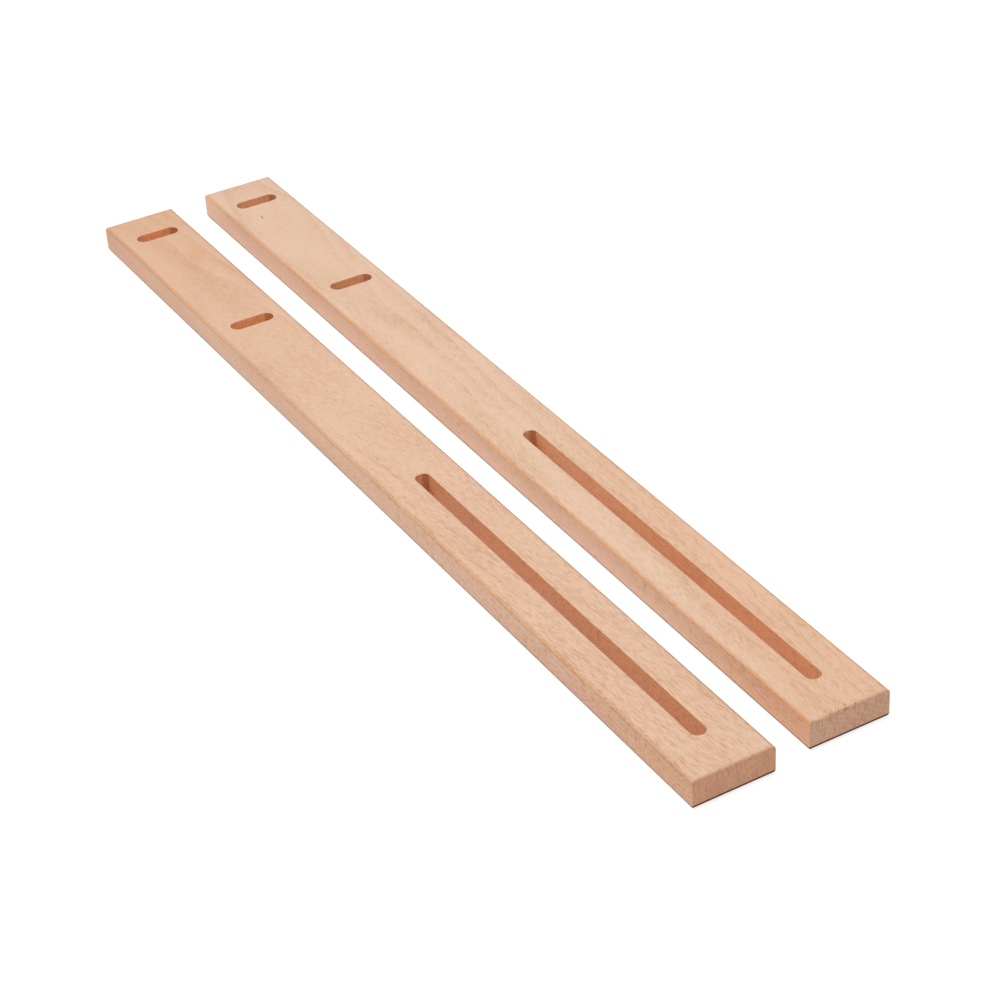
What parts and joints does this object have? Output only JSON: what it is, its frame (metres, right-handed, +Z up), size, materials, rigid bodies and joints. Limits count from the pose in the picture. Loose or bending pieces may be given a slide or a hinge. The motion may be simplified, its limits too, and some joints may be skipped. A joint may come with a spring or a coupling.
{
  "type": "loom side bars",
  "caption": "Flat beech side bars of a frame loom, lying loose side by side, with rounded edges, short cross slots towards one end and a long adjusting slot towards the other.",
  "frame": {"origin": "on the surface the bars lie on, under the middle of the pair's box", "axes": "+Y along the left bar towards its far end, where the short cross slots are; +X across the pair from the left bar to the right bar; +Z up, out of the upper broad faces"},
  "size_m": [0.14, 0.7846, 0.02],
  "materials": {
    "left_beech": "sanded, unvarnished or thinly oiled, satin to matt",
    "right_beech": "sanded, unvarnished or thinly oiled, satin to matt"
  },
  "bodies": {
    "left_bar": {"left_side_bar": "left_beech"},
    "right_bar": {"right_side_bar": "right_beech"}
  },
  "joints": [
    {"name": "right_bar_lift", "type": "slide", "parent": "left_bar", "child": "right_bar", "axis": [0, 0, 1], "range_m": [0, 0.1]}
  ]
}
